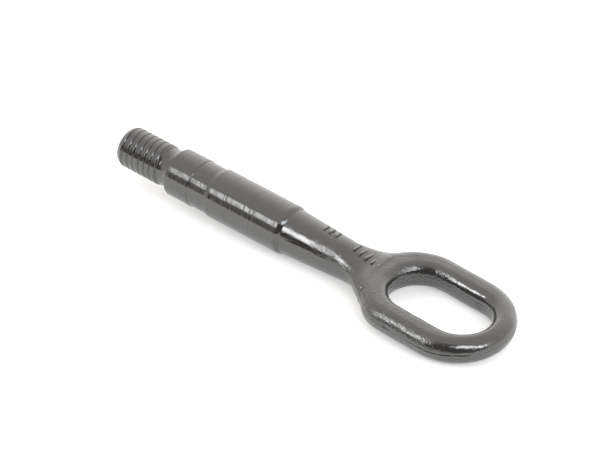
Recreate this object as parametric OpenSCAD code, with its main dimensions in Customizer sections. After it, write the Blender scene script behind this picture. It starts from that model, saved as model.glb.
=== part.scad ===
// Tow eye: one forged, turned and threaded steel piece, lying at rest on the floor (z = 0).
// Lengths are measured along its own axis from the thread's tip; +X runs from the tip to the eye.

/* [Thread] */
// Outer diameter of the thread
thread_d = 18; // [14:0.5:20]
// Distance between neighbouring crests
thread_pitch = 3; // [2:0.25:4]
// Radial depth of the thread
thread_depth = 1.1; // [0.8:0.05:2]
// Length from the tip to the end of the thread
thread_length = 22.6; // [12:0.2:40]
// Length of the tapered tip
tip_length = 2; // [1:0.1:3]
// Radial height that the crests lose at the tip
tip_bevel = 1; // [0.5:0.1:1.6]
// Turn of the thread around the axis
thread_start = 139; // [0:1:360]

/* [Neck and collars] */
// Radial step from the crests down to the plain neck behind the thread
neck_step = 0.6; // [0.3:0.05:0.6]
// Length of the neck, run-out of the thread included
neck_length = 5; // [3:0.2:12]
// Diameter of the first collar, next to the neck
collar_d = 21.2; // [20.4:0.1:26]
// Length of the first collar
collar_length = 12.6; // [5:0.2:25]
// Radial step from the first collar down to the second
second_step = 0.3; // [0.1:0.05:0.6]
// Length of the second collar
second_collar_length = 9.4; // [4:0.2:20]
// Bevel on the first collar's front edge
collar_bevel = 0.5; // [0.2:0.1:1]

/* [Barrel] */
// Radial step from the first collar up to the barrel
barrel_step = 0.3; // [0.1:0.05:1]
// Length of the barrel
barrel_length = 38; // [20:0.5:70]
// Bevel at the barrel's front edge
barrel_bevel = 0.5; // [0.2:0.1:0.8]
// Length of the slope from the barrel down to the shank
slope_length = 2.8; // [1:0.1:6]

/* [Forged shank] */
// Radial step from the barrel down to the shank
shank_step = 0.85; // [0.5:0.05:1.5]
// Shank diameter at its narrowest, before the eye
shank_neck_d = 17.2; // [15:0.1:18]
// Length of the taper from the slope to the narrowest place
shank_length = 26.9; // [15:0.2:60]
// Radius of the hollow flare between shank and eye, seen from above
flare_radius = 24; // [12:0.5:30]

/* [Eye] */
// Width of the opening
eye_opening_width = 26.4; // [24:0.1:40]
// Straight length between the two round ends of the opening
eye_straight = 21.3; // [5:0.1:40]
// Thickness of the eye, also twice the radius of its round outer side
bar_thickness = 12.2; // [11:0.1:13]
// Width of the bar between its round outer side and the opening
inner_width = 6.1; // [4:0.05:8]
// Shift of the opening away from the shank, which thins the eye's far end
opening_shift = 2.6; // [0:0.1:3]
// Rounding of the edges around the opening
opening_rounding = 4.6; // [1:0.1:5.5]
// Turn of the eye against the shank, seen from above, as in the photo; 0 makes the eye straight
eye_turn = -2.1; // [-5:0.1:5]

/* [Raised marks] */
// Length of one raised bar, along the shank
mark_length = 1.3; // [0.5:0.1:2]
// Width of the bars next to the barrel, across the shank
mark_width = 4.4; // [2:0.1:8]
// Width of the bars next to the eye, across the shank
eye_mark_width = 6; // [2:0.1:8]
// Height of the bars above the forged skin
mark_height = 0.5; // [0.2:0.05:1]
// Distance between neighbouring bars
mark_step = 3.2; // [2.2:0.1:4]
// Turn of the bars around the axis, from straight up towards -Y
mark_angle = -12; // [-40:1:40]
// Number of bars in the group next to the barrel
barrel_marks = 3; // [0:1:5]
// Number of bars in the group next to the eye
eye_marks = 5; // [0:1:5]

/* [Hidden] */
$fn = 96;
thread_r = thread_d / 2;
root_r = thread_r - thread_depth;
sliver = 0.1;                                    // smallest step left between two surfaces
tip_r = root_r - sliver;                         // radius of the flat end
crest_half = thread_pitch / 16;                  // half the width of the crest's flat
root_half = thread_pitch / 8;                    // half the width of the root's flat
flank_run = thread_pitch / 2 - crest_half - root_half;
tip_gap = 0.25;
s_first = crest_half + flank_run + tip_gap;      // middle of the ridge at its start, clear of the tip
neck_r = thread_r - neck_step;
collar_r = collar_d / 2;
second_r = collar_r - second_step;
barrel_r = collar_r + barrel_step;
s_collar = thread_length + neck_length;          // front face of the first collar
s_second = s_collar + collar_length;             // front of the second collar
s_barrel = s_second + second_collar_length;      // front of the barrel
s_slope = s_barrel + barrel_length;              // end of the barrel
s_shank = s_slope + slope_length;                // start of the forged shank
s_narrow = s_shank + shank_length;               // narrowest place of the shank
shank_root_r = barrel_r - shank_step;
shank_neck_r = shank_neck_d / 2;
edge_r = bar_thickness / 2;                      // round outer side of the bar
opening_r = eye_opening_width / 2;
bar_r = opening_r + inner_width;                 // centre line of the round outer side
eye_r = bar_r + edge_r;                          // outer half width of the eye
// The flare is a hollow arc that starts on the shank's side and bites a little into the eye's
// outer circle, so that the shank's end stays inside the eye.
flare_bite = 0.5;
flare_y = shank_neck_r + flare_radius;
flare_x = sqrt(pow(eye_r + flare_radius - flare_bite, 2) - pow(flare_y, 2));
s_eye = s_narrow + flare_x;                      // centre of the eye's first round end
s_far = s_eye + eye_straight;                    // centre of its second round end
s_middle = (s_eye + s_far) / 2;                  // the eye turns around this place
total_length = s_middle + eye_straight / 2 * cos(eye_turn) + eye_r;
s_touch = s_eye - flare_x * eye_r / (eye_r + flare_radius);  // where the arc meets the eye
s_loft_end = s_eye - bar_r + sliver;             // the forged shank's end inside the eye's bar
end_inset = edge_r * 0.45;                       // how far that end keeps inside the eye's outline
top_drop = 0.3;                                  // how far its top lies below the eye's top
swell_lead = 3;                                  // the shank flattens from this far before its neck
barrel_marks_from = 14;                          // first bar's distance from the slope
eye_marks_from = 4;                              // first bar's distance from the neck

// Pose at rest: the barrel's rear edge and the eye's far edge touch the floor.
reach = total_length - edge_r - s_slope;
tilt = acos(edge_r / sqrt(pow(barrel_r, 2) + pow(reach, 2))) - atan2(reach, barrel_r);
lift = s_slope * sin(tilt) + barrel_r * cos(tilt);
x_back = -tip_r * sin(tilt);
x_front = (total_length - edge_r) * cos(tilt) + edge_r;
x_middle = (x_back + x_front) / 2;

steel = [0.16, 0.16, 0.17];

function mix(a, b, k) = a + (b - a) * k;
function smooth(k) = let (c = min(max(k, 0), 1)) c * c * (3 - 2 * c);
function power(v, p) = sign(v) * pow(abs(v), p);

// Half width, sideways shift and half height of the forged shank at the length s.
function taper(s) = mix(shank_root_r, shank_neck_r, min((s - s_shank) / shank_length, 1));
function arc(s) = flare_y - sqrt(pow(flare_radius, 2) - pow(max(s - s_narrow, 0), 2));
function inset(s) = flare_bite + end_inset * smooth((s - s_touch) / (s_loft_end - s_touch));
function half_width(s) = s <= s_narrow ? taper(s)
    : s <= s_touch ? arc(s) : sqrt(pow(eye_r - inset(s), 2) - pow(s_eye - s, 2));
function side_shift(s) = sin(eye_turn) * (s - s_middle) * smooth((s - s_narrow) / (s_loft_end - s_narrow));
function half_height(s) = mix(taper(s), edge_r - top_drop,
    smooth((s - s_narrow + swell_lead) / (s_loft_end - s_narrow + swell_lead)));

// Closed skin through rings of points, with flat ends.
module skin(rows) {
    m = len(rows);
    n = len(rows[0]);
    polyhedron(
        points = [for (row = rows) for (p = row) p],
        faces = concat(
            [[for (j = [0:n - 1]) j]],
            [for (i = [0:m - 2]) for (j = [0:n - 1]) let (k = (j + 1) % n)
                each [[i * n + j, (i + 1) * n + j, (i + 1) * n + k],
                    [i * n + j, (i + 1) * n + k, i * n + k]]],
            [[for (j = [n - 1:-1:0]) (m - 1) * n + j]]),
        convexity = 6);
}

// Height of the thread's crest above the axis at the length s: it rises over the tapered tip
// and sinks into the neck over the run-out, which lies in the thread's last pitch.
function crest_r(s) =
    let (runout_from = thread_length - thread_pitch * 0.9,
         runout_length = thread_pitch * 0.6,
         runout_r = neck_r - 0.4,
         rise = thread_r - tip_bevel * (1 - s / tip_length))
    min(max(rise, root_r + sliver), mix(thread_r, runout_r, smooth((s - runout_from) / runout_length)));

// Threaded end: a right-hand ridge on a core, as one closed skin that ends inside the neck.
module threaded_end() {
    n = 36;                                          // steps in one turn
    lean = flank_run / thread_depth;
    full_foot = crest_half + flank_run;
    turns = ceil((thread_length - s_first) / thread_pitch);
    m = turns * n;                                   // number of the last row
    end_gap = 0.3;
    s_end = s_first + turns * thread_pitch + full_foot + end_gap;
    rows = [for (i = [0:m])
        let (a = i * 360 / n, s = s_first + thread_pitch * i / n, c = crest_r(s),
             half_crest = full_foot - (c - root_r) * lean)
        for (p = [[-full_foot, root_r], [-half_crest, c], [half_crest, c], [full_foot, root_r]])
            [s + p[0], p[1] * cos(a), p[1] * sin(a)]];
    rings = [for (q = [[0, tip_r], [sliver, root_r], [s_end, root_r]]) for (j = [0:n - 1])
        [q[0], q[1] * cos(j * 360 / n), q[1] * sin(j * 360 / n)]];
    tip = len(rows);
    front = tip + n;
    rear = front + n;
    polyhedron(
        points = concat(rows, rings),
        faces = concat(
            [for (i = [0:m - 1]) for (k = [0:2]) let (p = 4 * i + k, q = p + 4)
                each [[p, q + 1, q], [p, p + 1, q + 1]]],
            [for (i = [0:m - n - 1]) let (p = 4 * i + 3, q = 4 * (i + n))
                each [[p, q + 4, p + 4], [p, q, q + 4]]],
            [[3, 2, 1, 0], [4 * m, 4 * m + 1, 4 * m + 2, 4 * m + 3]],
            [for (j = [0:n - 2]) [front + j, 4 * j, 4 * (j + 1), front + j + 1]],
            [[front + n - 1, 4 * (n - 1), 4 * n, 3, 0, front]],
            [for (j = [1:n - 1]) let (p = 4 * (m - n + j) + 3) [p, rear + j, rear + (j + 1) % n, p + 4]],
            [[rear + 1, 4 * (m - n) + 7, 4 * (m - n) + 3, 4 * m, 4 * m + 3, rear]],
            [for (j = [0:n - 1]) let (k = (j + 1) % n) [tip + j, front + j, front + k, tip + k]],
            [[for (j = [0:n - 1]) tip + j], [for (j = [n - 1:-1:0]) rear + j]]),
        convexity = 10);
}

module turned() {
    neck_edge = 0.2;
    second_bevel = 0.3;
    slope_drop = 0.2;                                // the slope ends this far inside the forged skin
    rotate([90, 0, 90])
        rotate_extrude()
            polygon([[0, thread_length], [neck_r - neck_edge, thread_length],
                [neck_r, thread_length + neck_edge], [neck_r, s_collar],
                [collar_r - collar_bevel, s_collar], [collar_r, s_collar + collar_bevel],
                [collar_r, s_second], [second_r, s_second + second_bevel],
                [second_r, s_barrel], [barrel_r - barrel_bevel, s_barrel],
                [barrel_r, s_barrel + barrel_bevel], [barrel_r, s_slope],
                [shank_root_r - slope_drop, s_shank], [0, s_shank]]);
}

// Forged shank: round at the slope, wider and flatter towards the eye, with its ends inside
// the barrel and the eye.
module shank() {
    points = 40;
    steps = 12;
    overlap = 4;
    squareness = 0.1;
    squaring_length = 10;
    stations = concat([s_slope - overlap, s_shank, (s_shank + s_narrow) / 2, s_narrow - swell_lead],
        [for (k = [0:steps]) mix(s_narrow, s_loft_end, k / steps)]);
    skin([for (s = stations)
        let (a = half_width(s), b = half_height(s),
             y = side_shift(s), e = 1 - squareness * smooth((s - s_narrow) / squaring_length))
        [for (j = [0:points - 1]) let (t = (j + 0.5) * 360 / points)
            [s, y + a * power(cos(t), e), b * power(sin(t), e)]]]);
}

// Half section of the closed eye: flat above and below, round at the outer side.
module slab_side() {
    translate([0, -edge_r]) square([bar_r, bar_thickness]);
    intersection() {
        translate([bar_r, 0]) circle(r = edge_r);
        translate([bar_r, -edge_r]) square([edge_r, bar_thickness]);
    }
}

// Half section of the opening, widening in a round at both of its edges.
module opening_side() {
    margin = 1;
    translate([0, -edge_r - margin]) square([opening_r, bar_thickness + 2 * margin]);
    for (m = [0, 1]) mirror([0, m])
        difference() {
            translate([opening_r - margin, edge_r - opening_rounding])
                square([opening_rounding + margin, opening_rounding + margin]);
            translate([opening_r + opening_rounding, edge_r - opening_rounding])
                circle(r = opening_rounding);
        }
}

// The half section swept around two round ends and along two straight sides.
module oval() {
    translate([s_far, 0, 0]) rotate([0, 0, -90]) rotate_extrude(angle = 180) children();
    translate([s_eye, 0, 0]) rotate([0, 0, 90]) rotate_extrude(angle = 180) children();
    for (m = [0, 1]) mirror([0, m, 0])
        translate([s_eye, 0, 0]) rotate([90, 0, 90]) linear_extrude(eye_straight) children();
}

module eye() {
    translate([s_middle, 0, 0])
        rotate([0, 0, eye_turn])
            translate([-s_middle, 0, 0])
                difference() {
                    oval() slab_side();
                    translate([opening_shift, 0, 0]) oval() opening_side();
                }
}

// Plain raised bars across the shank's upper side.
module marks(s, count, width) {
    root = 3;
    for (i = [0:1:count - 1])
        let (x = s + i * mark_step)
            rotate([mark_angle, 0, 0])
                translate([x, -width / 2, half_height(x) - root])
                    cube([mark_length, width, root + mark_height]);
}

module tow_eye() {
    color(steel)
        translate([-x_middle, 0, lift])
            rotate([0, tilt, 0]) {
                turned();
                rotate([thread_start, 0, 0]) threaded_end();
                shank();
                eye();
                marks(s_shank + barrel_marks_from, barrel_marks, mark_width);
                marks(s_narrow + eye_marks_from, eye_marks, eye_mark_width);
            }
}

tow_eye();
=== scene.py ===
import math

import bmesh
import bpy
import numpy as np
from mathutils import Matrix, Vector


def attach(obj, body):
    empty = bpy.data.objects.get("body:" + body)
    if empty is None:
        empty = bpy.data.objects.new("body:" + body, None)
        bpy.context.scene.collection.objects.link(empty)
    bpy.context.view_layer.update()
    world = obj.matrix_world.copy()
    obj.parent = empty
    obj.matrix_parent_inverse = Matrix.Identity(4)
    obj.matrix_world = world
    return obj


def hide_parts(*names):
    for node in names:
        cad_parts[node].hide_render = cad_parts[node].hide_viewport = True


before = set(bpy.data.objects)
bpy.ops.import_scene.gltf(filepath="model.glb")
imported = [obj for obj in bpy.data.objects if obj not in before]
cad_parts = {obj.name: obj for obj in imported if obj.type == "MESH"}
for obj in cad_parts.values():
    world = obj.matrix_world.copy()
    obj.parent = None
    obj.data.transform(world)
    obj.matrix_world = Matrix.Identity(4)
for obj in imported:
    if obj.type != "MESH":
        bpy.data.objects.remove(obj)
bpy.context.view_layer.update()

# Driving sizes in millimetres, the same as the solid's
THREAD_R = 9.0
PITCH = 3.0
THREAD_DEPTH = 1.1
THREAD_LENGTH = 22.6
TIP_LENGTH = 2.0
TIP_BEVEL = 1.0
TIP_INSET = 0.1
NECK_CUT = 0.6
NECK_LENGTH = 5.0
COLLAR_R = 10.6
COLLAR_LENGTH = 12.6
COLLAR_STEP = 0.3
SECOND_LENGTH = 9.4
BARREL_LENGTH = 38.0
SLOPE_LENGTH = 2.8
SLOPE_DROP = 0.85
SHANK_NECK_R = 8.6
SHANK_LENGTH = 26.9
FLARE_RADIUS = 24.0
FLARE_BITE = 0.5
EDGE_R = 6.1
OPENING_R = 13.2
INNER_WIDTH = 6.1
ROUNDING = 4.6
EYE_STRAIGHT = 21.3
OPENING_SHIFT = 2.6
EYE_TURN = math.radians(-2.1)
LOFT_LAP = 0.1
MARK_LENGTH = 1.3
MARK_HEIGHT = 0.5
MARK_STEP = 3.2
MARK_TURN = math.radians(12)
SHANK_MARKS = 3
SHANK_MARK_WIDTH = 4.4
SHANK_MARKS_FROM = 14
EYE_MARKS = 5
EYE_MARK_WIDTH = 6.0
EYE_MARKS_FROM = 4

# Radii, and places along the part's own axis from the thread's tip
ROOT_R = THREAD_R - THREAD_DEPTH
NECK_R = THREAD_R - NECK_CUT
SECOND_R = COLLAR_R - COLLAR_STEP
BARREL_R = COLLAR_R + COLLAR_STEP
SHANK_ROOT_R = BARREL_R - SLOPE_DROP
BAR_R = OPENING_R + INNER_WIDTH
EYE_R = BAR_R + EDGE_R
S_COLLAR = THREAD_LENGTH + NECK_LENGTH
S_SECOND = S_COLLAR + COLLAR_LENGTH
S_BARREL = S_SECOND + SECOND_LENGTH
S_SLOPE = S_BARREL + BARREL_LENGTH
S_SHANK = S_SLOPE + SLOPE_LENGTH
S_NARROW = S_SHANK + SHANK_LENGTH
FLARE_Y = SHANK_NECK_R + FLARE_RADIUS
FLARE_X = math.sqrt((EYE_R + FLARE_RADIUS - FLARE_BITE) ** 2 - FLARE_Y ** 2)
S_EYE = S_NARROW + FLARE_X
S_FAR = S_EYE + EYE_STRAIGHT
S_MIDDLE = (S_EYE + S_FAR) / 2
LENGTH = S_MIDDLE + EYE_STRAIGHT / 2 * math.cos(EYE_TURN) + EYE_R
S_TOUCH = S_EYE - FLARE_X * EYE_R / (EYE_R + FLARE_RADIUS)
S_LOFT_END = S_EYE - BAR_R + LOFT_LAP

# Pose at rest, worked out as in the solid
REACH = LENGTH - EDGE_R - S_SLOPE
TILT = math.acos(EDGE_R / math.hypot(BARREL_R, REACH)) - math.atan2(REACH, BARREL_R)
LIFT = S_SLOPE * math.sin(TILT) + BARREL_R * math.cos(TILT)
X_START = -(ROOT_R - TIP_INSET) * math.sin(TILT)
X_END = (LENGTH - EDGE_R) * math.cos(TILT) + EDGE_R
X_MIDDLE = (X_START + X_END) / 2
MM = 0.001


def place(points):
    """Points of the part (mm, along its own axis) in the row frame (m)."""
    s, y, z = points[:, 0], points[:, 1], points[:, 2]
    x = s * math.cos(TILT) + z * math.sin(TILT) - X_MIDDLE
    up = LIFT - s * math.sin(TILT) + z * math.cos(TILT)
    return np.column_stack([x, y, up]) * MM


def tilted(v):
    """Directions along the part's own axes in the row frame."""
    c, w = math.cos(TILT), math.sin(TILT)
    return np.column_stack([v[:, 0] * c + v[:, 2] * w, v[:, 1], v[:, 2] * c - v[:, 0] * w])


def make_object(name, points, faces, material, normals=None):
    mesh = bpy.data.meshes.new(name)
    mesh.from_pydata(place(points).tolist(), [], faces)
    mesh.polygons.foreach_set("use_smooth", np.ones(len(mesh.polygons), bool))
    mesh.update()
    if normals is not None:
        mesh.normals_split_custom_set_from_vertices(tilted(normals).tolist())
    obj = bpy.data.objects.new(name, mesh)
    bpy.context.scene.collection.objects.link(obj)
    mesh.materials.append(material)
    return obj


# Small helpers for numbers and fields
TINY = 1e-9
SMALL = 1e-6


def smooth(k):
    c = np.clip(k, 0, 1)
    return c * c * (3 - 2 * c)


def mix(a, b, k):
    return a + (b - a) * k


def bell(k):
    return np.exp(-k ** 2)


def unit(v):
    return v / np.maximum(np.linalg.norm(v, axis=1), SMALL)[:, None]


def gradient(field, p, step=0.02):
    out = np.empty_like(p)
    for i in range(3):
        d = np.zeros(3)
        d[i] = step
        out[:, i] = (field(p + d) - field(p - d)) / (2 * step)
    return out


def waves(points, length, seed, count=24):
    """Smooth noise: a sum of plane waves in fixed random directions."""
    rng = np.random.default_rng(seed)
    d = rng.normal(size=(count, 3))
    d /= np.linalg.norm(d, axis=1)[:, None]
    k = 2 * math.pi / length * rng.uniform(0.6, 1.5, count)
    phase = rng.uniform(0, 2 * math.pi, count)
    out = np.zeros(len(points))
    for i in range(count):
        out += np.sin(points @ d[i] * k[i] + phase[i])
    return out / math.sqrt(count / 2)


def uneven(points, layers):
    """Smooth noise in layers, each given by its height, its length and its seed."""
    return sum(height * waves(points, length, seed) for height, length, seed in layers)


# Outline of the forged shank, which is lofted into the eye
LOFT_INSET = 0.45
LOFT_SINK = 0.3
LOFT_LEAD = 3
SQUARENESS = 0.1
SQUARE_LENGTH = 10
S_SKIN = S_SLOPE - 5


def taper(s):
    return mix(SHANK_ROOT_R, SHANK_NECK_R, np.minimum((s - S_SHANK) / (S_NARROW - S_SHANK), 1))


def half_width(s):
    past = np.maximum(s - S_NARROW, 0)
    arc = FLARE_Y - np.sqrt(np.maximum(FLARE_RADIUS ** 2 - past ** 2, 0))
    inset = FLARE_BITE + EDGE_R * LOFT_INSET * smooth((s - S_TOUCH) / (S_LOFT_END - S_TOUCH))
    inside = np.sqrt(np.maximum((EYE_R - inset) ** 2 - (S_EYE - s) ** 2, 1))
    return np.where(s <= S_NARROW, taper(s), np.where(s <= S_TOUCH, arc, inside))


def half_height(s):
    along = (s - S_NARROW + LOFT_LEAD) / (S_LOFT_END - S_NARROW + LOFT_LEAD)
    return mix(taper(s), EDGE_R - LOFT_SINK, smooth(along))


def side_shift(s):
    """Sideways shift of the loft, which follows the turned eye."""
    along = (s - S_NARROW) / (S_LOFT_END - S_NARROW)
    return math.sin(EYE_TURN) * (s - S_MIDDLE) * smooth(along)


def shank_distance(p):
    s, y, z = p[:, 0], p[:, 1] - side_shift(p[:, 0]), p[:, 2]
    a, b = half_width(s), half_height(s)
    e = 2 / (1 - SQUARENESS * smooth((s - S_NARROW) / SQUARE_LENGTH))
    r = ((np.abs(y) / a) ** e + (np.abs(z) / b) ** e + TINY) ** (1 / e)
    side = (r - 1) * np.sqrt(y ** 2 + z ** 2 + TINY) / np.maximum(r, SMALL)
    return np.maximum(np.maximum(side, s - S_LOFT_END), S_SKIN - s)


# Outline of the eye, seen along its own turned axis
def eye_frame(p, turn=EYE_TURN):
    """Points seen along the turned eye; with the turn reversed, the way back."""
    c, w = math.cos(turn), math.sin(turn)
    s, y = p[:, 0] - S_MIDDLE, p[:, 1]
    return np.column_stack([S_MIDDLE + s * c + y * w, y * c - s * w, p[:, 2]])


def opening_reach(p):
    """Distance from the opening's centre line, seen from above."""
    s = p[:, 0] - OPENING_SHIFT
    return np.hypot(s - np.clip(s, S_EYE, S_FAR), p[:, 1])


def eye_distance(points):
    p = eye_frame(points)
    s, y, z = p[:, 0], p[:, 1], p[:, 2]
    rho = np.hypot(s - np.clip(s, S_EYE, S_FAR), y)
    outer = np.where(rho >= BAR_R, np.hypot(np.maximum(rho - BAR_R, 0), z), np.abs(z)) - EDGE_R
    dx = OPENING_R + ROUNDING - opening_reach(p)
    dz = np.abs(z) - (EDGE_R - ROUNDING)
    corner = np.hypot(np.maximum(dx, 0), np.maximum(dz, 0)) - ROUNDING
    inner = corner + np.minimum(np.maximum(dx, dz), 0)
    return np.maximum(outer, inner)


# The shank and the eye blended into one forging
FILLET = 3
FILLET_MORE = 3.5
FILLET_TOP = 5
FILLET_FADE = 4
SHOULDER_PULL = 2.0
SHOULDER_WAY = (0.55, 0.83, 0)
SHOULDER_S = S_TOUCH + 3
SHOULDER_Y = -0.7 * EYE_R
SHOULDER_LENGTH = 7.5
SHOULDER_WIDTH = 8


def shoulder_pulled(p):
    """Points moved so that the near shoulder of the eye is drawn in towards the opening."""
    along = (p[:, 0] - SHOULDER_S) / SHOULDER_LENGTH
    across = (p[:, 1] - SHOULDER_Y) / SHOULDER_WIDTH
    pull = SHOULDER_PULL * bell(along) * bell(across)
    return p - pull[:, None] * SHOULDER_WAY


def blend(a, b, width):
    h = np.maximum(width - np.abs(a - b), 0) / width
    return np.minimum(a, b) - h ** 3 * width / 6


def forged_distance(points):
    p = shoulder_pulled(points)
    width = FILLET + FILLET_MORE * smooth((FILLET_TOP - np.abs(p[:, 2])) / FILLET_FADE)
    return blend(shank_distance(p), eye_distance(p), width)


# Marks of the forging: an uneven skin, a parting line, a trimmed opening and a dent
SKIN_LAYERS = [(0.03, 9, 3), (0.008, 2.6, 4)]
SKIN_START = 1
SKIN_FADE = 3
SHANK_CALM = 0.4
CALM_LENGTH = 12
FLASH_HEIGHT = 0.22
FLASH_WIDTH = 0.45
FLASH_SHARE = 0.75
FLASH_LAYERS = [(0.35, 12, 5)]
FLASH_STEEPNESS = 0.75
FLASH_FADE = 0.2
SHANK_LINE = 3.0
EYE_LINE = 0.3
LINE_DROP_LENGTH = 30
LINE_LAYERS = [(0.3, 26, 6)]
WALL_MARGIN = 1.2
WALL_FADE = 0.8
S_WALL = S_LOFT_END - 6
WALL_LINE = EDGE_R - ROUNDING - 0.2
WALL_LAYERS = [(0.3, 6, 8), (0.15, 1.8, 9)]
WALL_STEP = 0.2
WALL_STEP_WIDTH = 0.3
GROOVE_DEPTH = 0.25
GROOVE_WIDTH = 0.35
DENT = (136.7, -14.2, 4.8)
DENT_SIZE = (0.8, 0.9, 2.2)
DENT_DEPTH = 0.6


def wall_share(p):
    """1 on the opening's wall and 0 on the rest of the forging."""
    reach = opening_reach(eye_frame(p))
    return smooth((OPENING_R + WALL_MARGIN - reach) / WALL_FADE) * (p[:, 0] > S_WALL)


def parting_line(p, normal):
    s, z = p[:, 0], p[:, 2]
    steep = np.abs(normal[:, 1]) + np.abs(normal[:, 0])
    side = smooth((steep - FLASH_STEEPNESS) / FLASH_FADE)
    height = mix(SHANK_LINE, EYE_LINE, smooth((s - S_NARROW) / LINE_DROP_LENGTH))
    crest = z - height - uneven(p * [1, 1, 0], LINE_LAYERS)
    ridge = FLASH_HEIGHT * (FLASH_SHARE + uneven(p, FLASH_LAYERS))
    return np.maximum(ridge * bell(crest / FLASH_WIDTH) * side, 0)


def trimmed_wall(p):
    below = WALL_LINE + uneven(p * [1, 1, 0], WALL_LAYERS) - p[:, 2]
    return -WALL_STEP * smooth(below / WALL_STEP_WIDTH) - GROOVE_DEPTH * bell(below / GROOVE_WIDTH)


def forged_relief(p, normal):
    """Height of all these marks above the true surface."""
    s = p[:, 0]
    wall = wall_share(p)
    outer = smooth((s - S_SHANK - SKIN_START) / SKIN_FADE) * (1 - wall)
    calm = mix(SHANK_CALM, 1, smooth((s - S_NARROW) / CALM_LENGTH))
    skin = calm * (uneven(p, SKIN_LAYERS) + parting_line(p, normal))
    dent = -DENT_DEPTH * bell((p - DENT) / DENT_SIZE).prod(1)
    return skin * outer + trimmed_wall(p) * wall + dent


# The forged piece: a voxel skin drawn onto the true surface
LOFT_ROWS = 30
LOFT_POINTS = 48
BEND_ROWS = 40
EDGE_POINTS = 16
VOXEL = 0.4
DRAWING_STEPS = 12
DRAWING_LIMIT = 0.6
LEAST_SLOPE = 0.2
NORMAL_STEP = 0.15
RELIEF_STEP = 0.05


def shank_rows():
    rows = []
    turns = np.linspace(0, 2 * math.pi, LOFT_POINTS, endpoint=False)
    for s in np.linspace(S_SKIN, S_LOFT_END, LOFT_ROWS):
        a, b, y = (float(size(np.array([s]))[0]) for size in (half_width, half_height, side_shift))
        rows.append([(s, y + a * math.cos(t), b * math.sin(t)) for t in turns])
    return rows


def eye_rows():
    far_bend = np.linspace(-math.pi / 2, math.pi / 2, BEND_ROWS)
    near_bend = np.linspace(math.pi / 2, math.pi * 1.5, BEND_ROWS)
    path = [(S_FAR, math.cos(t), math.sin(t)) for t in far_bend]
    path += [(S_EYE, math.cos(t), math.sin(t)) for t in near_bend]
    edge = np.linspace(-math.pi / 2, math.pi / 2, EDGE_POINTS)
    section = [(BAR_R + EDGE_R * math.cos(t), EDGE_R * math.sin(t)) for t in edge]
    section += [(OPENING_R, EDGE_R - ROUNDING / 2), (OPENING_R, -EDGE_R + ROUNDING / 2)]
    rows = [[(c + r * dx, r * dy, z) for r, z in section] for c, dx, dy in path]
    return [eye_frame(np.array(row), -EYE_TURN).tolist() for row in rows]


def add_rows(bm, rows, closed):
    """Skin rows of points into a tube, or into a ring where it is closed."""
    rings = [[bm.verts.new(p) for p in row] for row in rows]
    for i in range(len(rings) if closed else len(rings) - 1):
        a, b = rings[i], rings[(i + 1) % len(rings)]
        for j in range(len(a)):
            k = (j + 1) % len(a)
            bm.faces.new((a[j], a[k], b[k], b[j]))
    if not closed:
        bm.faces.new(rings[0][::-1])
        bm.faces.new(rings[-1])


def voxel_skin():
    """Points and faces of an even skin round the shank and the eye."""
    bm = bmesh.new()
    add_rows(bm, shank_rows(), False)
    add_rows(bm, eye_rows(), True)
    bmesh.ops.recalc_face_normals(bm, faces=bm.faces)
    mesh = bpy.data.meshes.new("rough")
    bm.to_mesh(mesh)
    bm.free()
    rough = bpy.data.objects.new("rough", mesh)
    bpy.context.scene.collection.objects.link(rough)
    remesh = rough.modifiers.new("remesh", "REMESH")
    remesh.mode = "VOXEL"
    remesh.voxel_size = VOXEL
    skin = bpy.data.meshes.new_from_object(rough.evaluated_get(bpy.context.evaluated_depsgraph_get()))
    bpy.data.objects.remove(rough)
    points = np.empty(len(skin.vertices) * 3)
    skin.vertices.foreach_get("co", points)
    faces = [tuple(f.vertices) for f in skin.polygons]
    bpy.data.meshes.remove(skin)
    return points.reshape(-1, 3), faces


def forged_skin(material):
    p, faces = voxel_skin()
    for _ in range(DRAWING_STEPS):
        slope = gradient(forged_distance, p)
        steepness = np.maximum((slope ** 2).sum(1), LEAST_SLOPE)
        away = np.clip(forged_distance(p), -DRAWING_LIMIT, DRAWING_LIMIT)
        p -= slope * (away / steepness)[:, None]
    normal = unit(gradient(forged_distance, p, NORMAL_STEP))
    rise = gradient(lambda q: forged_relief(q, normal), p, RELIEF_STEP)
    rise -= normal * (rise * normal).sum(1)[:, None]
    shading = unit(normal - rise)
    p += normal * forged_relief(p, normal)[:, None]
    return make_object("forged_eye", p, faces, material, shading)


# Plain bars that stand out of the forged skin, with worn edges
BAR_DEPTH = 1.5
BAR_STEPS = 12
BAR_POWER = 0.25
MARKS = [(S_SHANK + SHANK_MARKS_FROM + i * MARK_STEP, SHANK_MARK_WIDTH) for i in range(SHANK_MARKS)]
MARKS += [(S_NARROW + EYE_MARKS_FROM + i * MARK_STEP, EYE_MARK_WIDTH) for i in range(EYE_MARKS)]


def bar_points(s, width):
    c, w = math.cos(MARK_TURN), math.sin(MARK_TURN)
    middle = float(half_height(np.array([s]))[0]) + MARK_HEIGHT - BAR_DEPTH
    points = []
    for i in range(BAR_STEPS + 1):
        polar = math.pi * i / BAR_STEPS
        for j in range(2 * BAR_STEPS):
            turn = math.pi * (j + 0.5) / BAR_STEPS
            flat = math.sin(polar)
            ball = (flat * math.cos(turn), flat * math.sin(turn), math.cos(polar))
            d = np.sign(ball) * np.abs(ball) ** BAR_POWER
            y, z = d[1] * width / 2, middle + BAR_DEPTH * d[2]
            points.append((s + MARK_LENGTH / 2 * (1 + d[0]), y * c + z * w, z * c - y * w))
    return points


def raised_marks(material):
    points, faces = [], []
    row = 2 * BAR_STEPS
    for s, width in MARKS:
        first = len(points)
        points += bar_points(s, width)
        for i in range(BAR_STEPS):
            for j in range(row):
                a = first + i * row + j
                b = first + i * row + (j + 1) % row
                faces.append((a, a + row, b + row, b))
    return make_object("raised_marks", np.array(points), faces, material)


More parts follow.
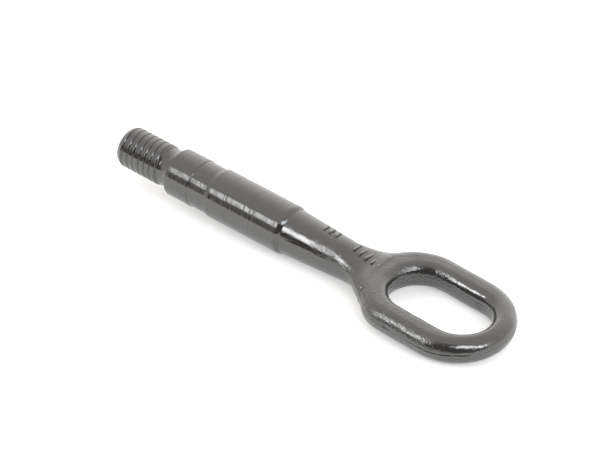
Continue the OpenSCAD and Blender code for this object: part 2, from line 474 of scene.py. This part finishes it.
# The turned end, with each edge as steps along and outwards from its corner
THREAD_START = 139 / 360
CREST_SHARE = 0.62
PAINTED_DEPTH = 0.5 * THREAD_DEPTH
FIRST_CREST = 0.375
TIP_GAP = 0.25
TIP_EDGE = 0.15
RUN_OUT_START = 1.8
RUN_OUT_LENGTH = 1.7
RING_POINTS = 256
THREAD_ROW = 0.1
PAST_THREAD = 0.4
NECK_EDGE = [(0.6 - NECK_LENGTH, 0), (-0.12, 0), (0, 0.12)]
COLLAR_EDGE = [(0, -0.65), (0.04, -0.52), (0.46, -0.06), (0.62, 0)]
SECOND_EDGE = [(-0.15, COLLAR_STEP), (-0.02, COLLAR_STEP - 0.05), (0.22, 0.03), (0.4, 0)]
BARREL_EDGE = [(-0.1, -2 * COLLAR_STEP), (0, 0.08 - 2 * COLLAR_STEP), (0.03, -0.48), (0.42, -0.06), (0.6, 0)]
SLOPE_EDGE = [(-0.35, 0), (-0.1, -0.02), (0.15, -0.1)]
SHANK_EDGE = [(0, -0.2), (0.1, -1.2), (0, 0.5 - SHANK_ROOT_R)]


def thread_profile(phase):
    """Radius over one pitch; phase 0 is the middle of the crest."""
    d = np.abs((phase + 0.5) % 1 - 0.5) * 2
    flank = np.clip((d - CREST_SHARE) / (1 - CREST_SHARE), 0, 1)
    return THREAD_R - PAINTED_DEPTH * smooth(flank)


def threaded_radius(s, angle):
    """Radius of the threaded end at the length s and the angle in turns."""
    s_first = PITCH * FIRST_CREST + TIP_GAP
    r = thread_profile((s - s_first) / PITCH - angle + THREAD_START)
    bevel = THREAD_R - TIP_BEVEL * (1 - s / TIP_LENGTH)
    r = np.minimum(r, np.where(s < TIP_LENGTH, np.maximum(bevel, ROOT_R), THREAD_R))
    return mix(r, NECK_R, smooth((s - THREAD_LENGTH + RUN_OUT_START) / RUN_OUT_LENGTH))


def edge_rows(s, r, steps):
    return [(s + along, r + outwards) for along, outwards in steps]


def plain_rows(start, end, r, after, before, count):
    return [(s, r) for s in np.linspace(start + after, end - before, count)]


def turned_rows():
    """Places and radii of the neck, the collars, the barrel and its slope."""
    rows = edge_rows(S_COLLAR, NECK_R, NECK_EDGE)
    rows += edge_rows(S_COLLAR, COLLAR_R, COLLAR_EDGE)
    rows += plain_rows(S_COLLAR, S_SECOND, COLLAR_R, after=1.5, before=1, count=6)
    rows += edge_rows(S_SECOND, SECOND_R, SECOND_EDGE)
    rows += plain_rows(S_SECOND, S_BARREL, SECOND_R, after=1, before=1, count=5)
    rows += edge_rows(S_BARREL, BARREL_R, BARREL_EDGE)
    rows += plain_rows(S_BARREL, S_SLOPE, BARREL_R, after=2, before=2, count=10)
    rows += edge_rows(S_SLOPE, BARREL_R, SLOPE_EDGE)
    return rows + edge_rows(S_SHANK, SHANK_ROOT_R, SHANK_EDGE)


def turned_end(material):
    n = RING_POINTS
    angle = np.arange(n) / n
    rings = [(0.0, np.full(n, ROOT_R - TIP_EDGE))]
    for s in np.arange(0, THREAD_LENGTH + PAST_THREAD, THREAD_ROW)[1:]:
        rings.append((s, threaded_radius(np.full(n, s), angle)))
    rings += [(s, np.full(n, r)) for s, r in turned_rows()]
    across, up = np.cos(2 * math.pi * angle), np.sin(2 * math.pi * angle)
    points = [np.zeros((1, 3))]
    points += [np.column_stack([np.full(n, s), r * across, r * up]) for s, r in rings]
    faces = [(0, 1 + (j + 1) % n, 1 + j) for j in range(n)]
    for i in range(len(rings) - 1):
        base = 1 + i * n
        for j in range(n):
            k = (j + 1) % n
            faces.append((base + j, base + k, base + n + k, base + n + j))
    last = 1 + (len(rings) - 1) * n
    faces.append(tuple(range(last, last + n)))
    return make_object("turned_end", np.concatenate(points), faces, material)


# Materials
PAINT_COLOUR = (0.020, 0.0185, 0.017, 1)
PAINT_IOR = 1.9
FORGED_ROUGHNESS = 0.10
TURNED_ROUGHNESS = 0.12
GRAIN_SCALE = 1300.0
GRAIN_HEIGHT = 0.00024
PATCH_SCALE = 60.0
RING_SCALE = (1400, 60, 60)
RING_HEIGHT = 0.00022
CROSS_SCALE = 700.0
CROSS_HEIGHT = 0.00008
CROSS_STRENGTH = 0.3
RING_FADE = 0.002
RINGS_FROM = S_COLLAR - 0.5


def node(tree, kind, **inputs):
    made = tree.nodes.new(kind)
    for key, value in inputs.items():
        made.inputs[key.replace("_", " ")].default_value = value
    return made


def maths(tree, operation, a, b):
    made = tree.nodes.new("ShaderNodeMath")
    made.operation = operation
    tree.links.new(a, made.inputs[0])
    tree.links.new(b, made.inputs[1])
    return made.outputs["Value"]


def noise(tree, scale, detail, roughness, stretch=(1, 1, 1)):
    coords = tree.nodes.new("ShaderNodeTexCoord")
    mapping = node(tree, "ShaderNodeMapping", Scale=stretch)
    tree.links.new(coords.outputs["Object"], mapping.inputs["Vector"])
    made = node(tree, "ShaderNodeTexNoise", Scale=scale, Detail=detail, Roughness=roughness)
    tree.links.new(mapping.outputs["Vector"], made.inputs["Vector"])
    return made.outputs["Fac"]


def bump(tree, height, distance, strength=1.0, under=None):
    made = node(tree, "ShaderNodeBump", Strength=strength, Distance=distance)
    tree.links.new(height, made.inputs["Height"])
    if under is not None:
        tree.links.new(under, made.inputs["Normal"])
    return made.outputs["Normal"]


def paint(name, roughness):
    material = bpy.data.materials.new(name)
    material.use_nodes = True
    shader = material.node_tree.nodes["Principled BSDF"]
    shader.inputs["Base Color"].default_value = PAINT_COLOUR
    shader.inputs["Metallic"].default_value = 0.0
    shader.inputs["Roughness"].default_value = roughness
    shader.inputs["IOR"].default_value = PAINT_IOR
    return material, material.node_tree, shader


def forged_paint():
    """Glossy paint over a forged skin, with a fine grain that comes and goes in patches."""
    material, tree, shader = paint("forged_paint", FORGED_ROUGHNESS)
    grain = noise(tree, GRAIN_SCALE, detail=2.0, roughness=0.5)
    patches = noise(tree, PATCH_SCALE, detail=1.0, roughness=0.5)
    share = node(tree, "ShaderNodeMapRange", From_Min=0.35, From_Max=0.65, To_Min=0.25, To_Max=1.0)
    tree.links.new(patches, share.inputs["Value"])
    height = maths(tree, "MULTIPLY", grain, share.outputs["Result"])
    tree.links.new(bump(tree, height, GRAIN_HEIGHT), shader.inputs["Normal"])
    return material


def turned_paint():
    """Glossy paint over turning marks, which start at the first collar."""
    material, tree, shader = paint("turned_paint", TURNED_ROUGHNESS)
    rings = noise(tree, 1.0, detail=2.0, roughness=0.6, stretch=RING_SCALE)
    cross = noise(tree, CROSS_SCALE, detail=2.0, roughness=0.5)
    coords = tree.nodes.new("ShaderNodeTexCoord")
    split = tree.nodes.new("ShaderNodeSeparateXYZ")
    tree.links.new(coords.outputs["Object"], split.inputs["Vector"])
    start = (RINGS_FROM * math.cos(TILT) - X_MIDDLE) * MM
    share = node(tree, "ShaderNodeMapRange", From_Min=start - RING_FADE, From_Max=start)
    tree.links.new(split.outputs["X"], share.inputs["Value"])
    height = maths(tree, "MULTIPLY", rings, share.outputs["Result"])
    under = bump(tree, height, RING_HEIGHT)
    tree.links.new(bump(tree, cross, CROSS_HEIGHT, CROSS_STRENGTH, under), shader.inputs["Normal"])
    return material


# The part
forged_material = forged_paint()
pieces = (turned_end(turned_paint()), forged_skin(forged_material), raised_marks(forged_material))
for piece in pieces:
    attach(piece, "root")
    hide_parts("tow_eye")

# Floor: a white table, lit a little more where it is seen directly or as a reflection
TABLE_COLOUR = (0.9, 0.9, 0.9, 1)
TABLE_ROUGHNESS = 0.9
TABLE_GLOW_COLOUR = (1, 0.99, 0.98, 1)
TABLE_GLOW = 0.33
FLOOR_SIZE = 6.0
FLOOR_GAP = 0.0001


def floor_material():
    material = bpy.data.materials.new("pale_floor")
    material.use_nodes = True
    tree = material.node_tree
    shader = tree.nodes["Principled BSDF"]
    shader.inputs["Base Color"].default_value = TABLE_COLOUR
    shader.inputs["Roughness"].default_value = TABLE_ROUGHNESS
    shader.inputs["Specular IOR Level"].default_value = 0.0
    path = tree.nodes.new("ShaderNodeLightPath")
    seen = maths(tree, "MAXIMUM", path.outputs["Is Camera Ray"], path.outputs["Is Glossy Ray"])
    glow = node(tree, "ShaderNodeEmission", Color=TABLE_GLOW_COLOUR, Strength=TABLE_GLOW)
    dark = node(tree, "ShaderNodeEmission", Strength=0.0)
    chosen = tree.nodes.new("ShaderNodeMixShader")
    tree.links.new(seen, chosen.inputs["Fac"])
    tree.links.new(dark.outputs["Emission"], chosen.inputs[1])
    tree.links.new(glow.outputs["Emission"], chosen.inputs[2])
    both = tree.nodes.new("ShaderNodeAddShader")
    tree.links.new(shader.outputs["BSDF"], both.inputs[0])
    tree.links.new(chosen.outputs["Shader"], both.inputs[1])
    tree.links.new(both.outputs["Shader"], tree.nodes["Material Output"].inputs["Surface"])
    return material


bpy.ops.mesh.primitive_plane_add(size=FLOOR_SIZE, location=(0, 0, -FLOOR_GAP))
floor = bpy.context.object
floor.name = "floor"
floor.data.materials.append(floor_material())

# Camera at the photograph's viewing angle, fitted to a part with a barrel radius of its own
FITTED_BARREL_R = 11.5
PHOTO_WIDTH = 600
SENSOR = 36.0
AZIMUTH = 39.21
ELEVATION = 36.43
ROLL = -0.17
MODEL_SCALE = BARREL_R / FITTED_BARREL_R
DISTANCE = 2461.0 * MODEL_SCALE
FOCAL_PIXELS = 5569.4
LOOK_AT = (83.67 * MODEL_SCALE, 17.78 * MODEL_SCALE)
NEAREST = 0.1
FARTHEST = 50


def add_camera():
    az, el, roll = (math.radians(a) for a in (AZIMUTH, ELEVATION, ROLL))
    ahead = Vector((-math.sin(az) * math.cos(el), math.cos(az) * math.cos(el), -math.sin(el)))
    level = Vector((math.cos(az), math.sin(az), 0))
    upright = level.cross(ahead)
    right = level * math.cos(roll) + upright * math.sin(roll)
    up = upright * math.cos(roll) - level * math.sin(roll)
    target = Vector((LOOK_AT[0] - X_MIDDLE, LOOK_AT[1], 0)) * MM
    data = bpy.data.cameras.new("camera")
    data.sensor_width = SENSOR
    data.lens = FOCAL_PIXELS / PHOTO_WIDTH * SENSOR
    data.clip_start = NEAREST
    data.clip_end = FARTHEST
    camera = bpy.data.objects.new("camera", data)
    bpy.context.scene.collection.objects.link(camera)
    rotation = Matrix((right, up, -ahead)).transposed().to_4x4()
    camera.matrix_world = Matrix.Translation(target - ahead * DISTANCE * MM) @ rotation
    bpy.context.scene.camera = camera


add_camera()


# Lamps: a small softbox on the left and a tall cool window on the right
def lamp(name, direction, distance, size, power, colour, along):
    """An area lamp that faces the part, with its height along the given direction."""
    data = bpy.data.lights.new(name, "AREA")
    data.shape = "RECTANGLE"
    data.size, data.size_y = size
    data.energy = power
    data.color = colour
    obj = bpy.data.objects.new(name, data)
    bpy.context.scene.collection.objects.link(obj)
    back = Vector(direction).normalized()
    side = Vector(along).cross(back).normalized()
    turn = Matrix((side, back.cross(side), back)).transposed().to_4x4()
    obj.matrix_world = Matrix.Translation(back * distance) @ turn


lamp("softbox", direction=(-0.335, -0.733, 0.578), distance=0.8, size=(0.22, 0.27), power=1.75,
     colour=(1, 1, 1), along=(0, 0.578, 0.733))
lamp("window", direction=(0.78, -0.255, 0.57), distance=1.8, size=(0.45, 1.6), power=17.0,
     colour=(0.92, 0.96, 1), along=(-0.54, -0.61, 0.47))

# World: pale above and behind the part, with a dark side in front of it below a high ceiling
FRONT = (0.45, -0.89, 0)
CEILING = (0.90, 0.98)
BEHIND = (0.56, 0.32)
DARK_SIDE = (0.12, 0.11, 0.10, 1)
PALE_SIDE = (1.0, 0.98, 0.95, 1)
RISE = (-0.35, -0.95)
STRENGTHS = (1.22, 1.95)


def smooth_range(tree, value, span):
    made = node(tree, "ShaderNodeMapRange", From_Min=span[0], From_Max=span[1])
    made.interpolation_type = "SMOOTHSTEP"
    tree.links.new(value, made.inputs["Value"])
    return made.outputs["Result"]


def studio_world():
    world = bpy.data.worlds.new("studio")
    bpy.context.scene.world = world
    world.use_nodes = True
    tree = world.node_tree
    back = tree.nodes["Background"]
    coords = tree.nodes.new("ShaderNodeTexCoord")
    split = tree.nodes.new("ShaderNodeSeparateXYZ")
    tree.links.new(coords.outputs["Generated"], split.inputs["Vector"])
    front = tree.nodes.new("ShaderNodeVectorMath")
    front.operation = "DOT_PRODUCT"
    front.inputs[1].default_value = FRONT
    tree.links.new(coords.outputs["Generated"], front.inputs[0])
    ceiling = smooth_range(tree, split.outputs["Z"], CEILING)
    behind = smooth_range(tree, front.outputs["Value"], BEHIND)
    shade = tree.nodes.new("ShaderNodeValToRGB")
    shade.color_ramp.elements[0].color = DARK_SIDE
    shade.color_ramp.elements[1].color = PALE_SIDE
    tree.links.new(maths(tree, "MAXIMUM", ceiling, behind), shade.inputs["Fac"])
    tree.links.new(shade.outputs["Color"], back.inputs["Color"])
    rise = node(tree, "ShaderNodeMapRange", From_Min=RISE[0], From_Max=RISE[1],
                To_Min=STRENGTHS[0], To_Max=STRENGTHS[1])
    tree.links.new(front.outputs["Value"], rise.inputs["Value"])
    tree.links.new(rise.outputs["Result"], back.inputs["Strength"])
    path = tree.nodes.new("ShaderNodeLightPath")
    white = node(tree, "ShaderNodeBackground", Color=(1, 1, 1, 1))
    joined = tree.nodes.new("ShaderNodeMixShader")
    tree.links.new(path.outputs["Is Camera Ray"], joined.inputs["Fac"])
    tree.links.new(back.outputs["Background"], joined.inputs[1])
    tree.links.new(white.outputs["Background"], joined.inputs[2])
    tree.links.new(joined.outputs["Shader"], tree.nodes["World Output"].inputs["Surface"])


studio_world()
bpy.context.scene.view_settings.view_transform = "Standard"
